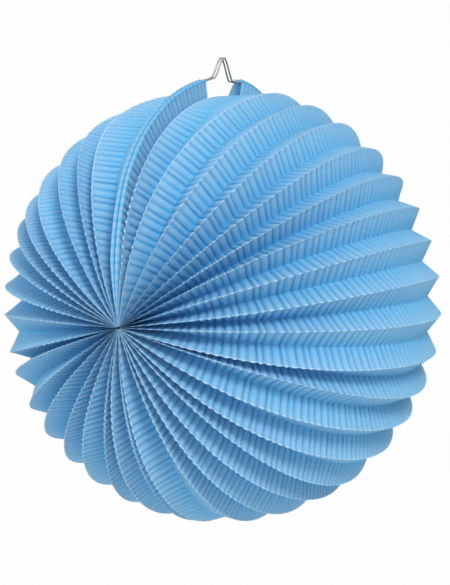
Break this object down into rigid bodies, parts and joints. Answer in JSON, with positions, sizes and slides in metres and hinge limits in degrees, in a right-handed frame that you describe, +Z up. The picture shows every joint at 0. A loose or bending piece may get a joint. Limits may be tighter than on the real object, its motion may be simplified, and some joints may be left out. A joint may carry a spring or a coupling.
{
  "type": "round paper lantern",
  "caption": "Round lantern of crimped, accordion-folded blue paper, with a wire in each top hem that rises to a peak for hanging over a mouth for a light.",
  "frame": {"origin": "the point under the two wire peaks that rests on a hook", "axes": "+Z is up, the fold axis of the ball lies along Y with the shown end towards -Y, +X is to the right when seen from -Y"},
  "size_m": [0.2498, 0.2506, 0.2665],
  "materials": {
    "paper": "matt, light blue, crimped",
    "wire": "plain drawn steel"
  },
  "bodies": {
    "root": {"right_sheet": "paper", "left_sheet": "paper", "right_wire": "wire", "left_wire": "wire"}
  },
  "joints": []
}
